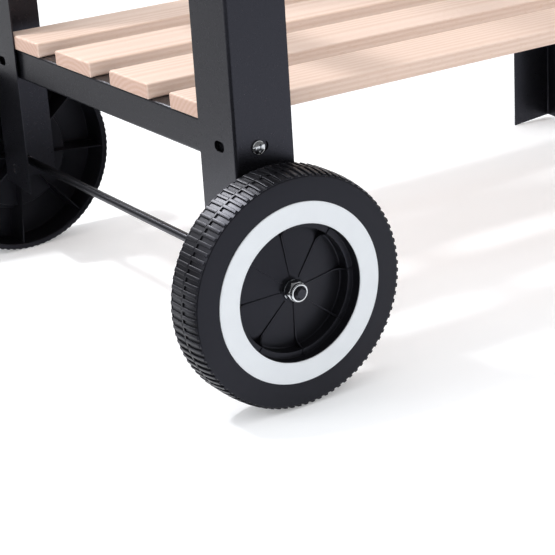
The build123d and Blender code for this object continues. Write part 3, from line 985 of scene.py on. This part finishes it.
def flat_sheet(name, corners, material):
    """A flat sheet of the stage through these corners."""
    mesh = bpy.data.meshes.new(name)
    mesh.from_pydata(corners, [], [tuple(range(len(corners)))])
    mesh.materials.append(material)
    sheet = bpy.data.objects.new(name, mesh)
    bpy.context.scene.collection.objects.link(sheet)
    return sheet


def white_floor():
    material, tree, shader = new_finish("matt_white_paper", {
        "Base Color": linear("#f1f3f6"), "Roughness": 0.9, "Specular IOR Level": 0.0,
        "Emission Color": linear("#ffffff")})
    glow = add_node(tree, "ShaderNodeMath", {1: floor_glow}, {0: seen_directly(tree)}, operation="MULTIPLY")
    tree.links.new(glow.outputs[0], shader.inputs["Emission Strength"])
    square = [(-1, -1), (1, -1), (1, 1), (-1, 1)]
    return flat_sheet("floor", [(x * floor_half_size, y * floor_half_size, 0) for x, y in square], material)


print("Made the", white_floor().name)

# %% [markdown]
# A black object shows little but what it mirrors. Three sheets lie on this floor that only mirrors see,
# so they are painted reflections, not real cards. A black fan round the bend of the near post paints the
# dark line along that bend, a black sheet under the deck paints shade into what the undersides mirror,
# and a grey one beyond the wheel end paints a dimmer reflection into the end faces of the posts and rails.

# %% Painted reflections on the floor
painted_reflection_height = 0.002
painted_bend_reflection_headings = [radians(152 + 10 * step) for step in range(12)]
painted_bend_reflection_radii = (0.2, 1.6)
painted_deck_shade_margin = 0.03
painted_corner_reflection_box = ((-2.4, 0.3), (-0.52, 2.4))


def painted_reflection_sheet(name, corners, colour):
    """A sheet on the floor that only mirrors see: a painted reflection."""
    painted_sheet = flat_sheet(name, corners, new_finish(name, {"Base Color": linear(colour), "Roughness": 0.9})[0])
    painted_sheet.visible_camera = False
    painted_sheet.visible_diffuse = False
    painted_sheet.visible_shadow = False
    print("Laid", name, "with", len(corners), "corners")


def painted_bend_reflection():
    """A painted dark reflection: a black fan round the bend of the near post."""
    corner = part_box("wheel_post_right")[0]
    near, far = [[(corner.x + radius * cos(heading), corner.y + radius * sin(heading), painted_reflection_height)
                  for heading in painted_bend_reflection_headings] for radius in painted_bend_reflection_radii]
    painted_reflection_sheet("painted_bend_reflection", near + far[::-1], "#050505")


def painted_reflection_box(name, low, high, colour):
    """A rectangle between two opposite corners."""
    places = (low[0], low[1]), (high[0], low[1]), (high[0], high[1]), (low[0], high[1])
    painted_reflection_sheet(name, [(x, y, painted_reflection_height) for x, y in places], colour)


def painted_deck_shade():
    """Painted shade for mirrors: a black sheet under the deck, between the posts."""
    low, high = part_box("wheel_post_right")[0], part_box("foot_post_left")[1]
    margin = Vector((painted_deck_shade_margin, painted_deck_shade_margin, 0))
    painted_reflection_box("painted_deck_shade", low + margin, high - margin, "#050505")


# Painted dark reflection along the bend of the near post.
painted_bend_reflection()
# Painted shade in what the undersides of the deck mirror.
painted_deck_shade()
# Painted dimmer reflection for the end faces of the posts and rails, beyond the wheel end.
painted_reflection_box("painted_corner_reflection", *painted_corner_reflection_box, "#afafaf")

# %% [markdown]
# The room is white for the camera and for the light that it scatters. A mirror sees something else: dark
# walls, and a ceiling that is dark at the front and white at the back. So the flat black faces stay deep,
# while whatever leans back catches light. The heights and depths below are parts of the direction's
# length, which is one.

# %% Room
room_light = 1.0
wall_light = 0.15
wall_top = 0.2
ceiling_start = 0.36
front_end = -0.45
back_start = 0.0


def white_room():
    """White for the camera and for scattered light; mirrors see dark walls and a half dark ceiling."""
    world = bpy.data.worlds.new("white_room")
    world.use_nodes = True
    bpy.context.scene.world = world
    tree = world.node_tree
    backdrop = tree.nodes["Background"]
    backdrop.inputs["Color"].default_value = linear("#ffffff")
    towards = add_node(tree, "ShaderNodeTexCoord").outputs["Generated"]
    direction = add_node(tree, "ShaderNodeSeparateXYZ", links={0: towards}).outputs
    above = add_node(tree, "ShaderNodeMapRange", {"From Min": wall_top, "From Max": ceiling_start},
                     {"Value": direction["Z"]}, interpolation_type="SMOOTHSTEP")
    behind = add_node(tree, "ShaderNodeMapRange", {"From Min": front_end, "From Max": back_start},
                      {"Value": direction["Y"]}, interpolation_type="SMOOTHSTEP")
    ceiling = add_node(tree, "ShaderNodeMath", operation="MULTIPLY",
                       links={0: above.outputs["Result"], 1: behind.outputs["Result"]})
    mirrored = add_node(tree, "ShaderNodeMapRange", {"To Min": wall_light, "To Max": room_light},
                        {"Value": ceiling.outputs[0]})
    in_mirror = add_node(tree, "ShaderNodeLightPath").outputs["Is Glossy Ray"]
    strength = add_node(tree, "ShaderNodeMix", {"A": room_light},
                        {"Factor": in_mirror, "B": mirrored.outputs["Result"]}, data_type="FLOAT")
    tree.links.new(strength.outputs["Result"], backdrop.inputs["Strength"])
    return world


print("Made the", white_room().name)

# %% [markdown]
# Two soft lamps cast the shadows. One hangs over the far left corner, as the slats' shadows on the floor
# show, and a larger one stands to the left. A third lights nothing by scattering and shows only in
# mirrors, where it puts the pale lines on the bars of the tread.

# %% Lamps
frame_middle = Vector((0, 0, 0))


def soft_lamp(name, place, size, watts, target):
    """A round lamp that faces its target."""
    lamp = bpy.data.objects.new(name, bpy.data.lights.new(name, "AREA"))
    bpy.context.scene.collection.objects.link(lamp)
    lamp.data.shape = "DISK"
    lamp.data.size = size
    lamp.data.energy = watts
    lamp.location = place
    lamp.rotation_euler = (target - lamp.location).to_track_quat("-Z", "Y").to_euler()
    print(name, "of", watts, "W, facing", target[:])
    return lamp


soft_lamp("corner_lamp", (-1.4, 0.6, 2.3), 0.25, 24.0, frame_middle)
soft_lamp("side_lamp", (-2.2, 0.3, 1.1), 0.8, 10.0, frame_middle)
gloss_lamp = soft_lamp("gloss_lamp", (-0.58, 1.28, 1.735), 1.2, 65.0, wheel_places["right_wheel"])
gloss_lamp.visible_diffuse = False
